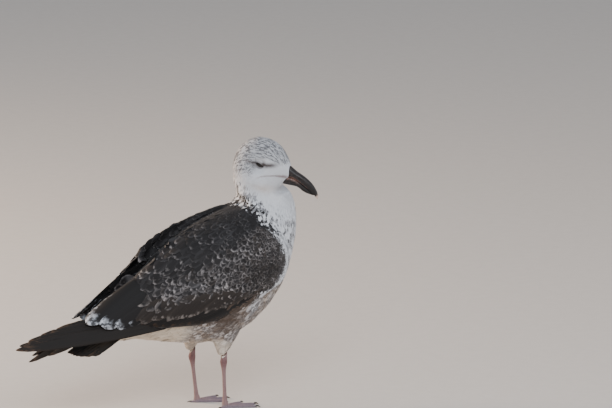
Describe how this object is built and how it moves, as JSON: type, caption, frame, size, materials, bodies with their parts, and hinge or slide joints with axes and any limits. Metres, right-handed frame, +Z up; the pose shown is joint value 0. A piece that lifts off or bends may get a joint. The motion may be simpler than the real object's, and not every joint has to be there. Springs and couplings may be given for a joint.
{
  "type": "immature lesser black-backed gull",
  "caption": "Life-size standing immature lesser black-backed gull on its webbed feet, wings folded, head turned to its right with the bill lowered.",
  "frame": {"origin": "on the floor, under the centre of the bird's bounding box", "axes": "+X the way the body faces, +Y towards its left side, +Z up"},
  "size_m": [0.4144, 0.1504, 0.349],
  "materials": {
    "pale_plumage": "soft matt feathering",
    "body_plumage": "soft matt feathering, mottled brown on cream",
    "mantle_plumage": "dark feathers with pale fringes",
    "covert_plumage": "dark brown feathers with worn whitish edges",
    "dark_quills": "satin blackish-brown vanes",
    "horn": "satin black horn with a pink-brown stripe",
    "eye": "wet, dark brown",
    "leg_skin": "dull pink scaled skin",
    "claw": "dark horn"
  },
  "bodies": {
    "root": {"head": "pale_plumage", "neck": "pale_plumage", "trunk": "body_plumage", "bill_upper": "horn", "bill_lower": "horn", "eye_right": "eye", "eye_left": "eye", "tail": "dark_quills", "scapulars_left": "mantle_plumage", "wing_coverts_left": "covert_plumage", "wing_tertials_left": "dark_quills", "wing_primaries_left": "dark_quills", "thigh_left": "pale_plumage", "tarsus_left": "leg_skin", "foot_left": "leg_skin", "claw_left_inner": "claw", "claw_left_middle": "claw", "claw_left_outer": "claw", "claw_left_hind": "claw", "scapulars_right": "mantle_plumage", "wing_coverts_right": "covert_plumage", "wing_tertials_right": "dark_quills", "wing_primaries_right": "dark_quills", "thigh_right": "pale_plumage", "tarsus_right": "leg_skin", "foot_right": "leg_skin", "claw_right_inner": "claw", "claw_right_middle": "claw", "claw_right_outer": "claw", "claw_right_hind": "claw"}
  },
  "joints": []
}
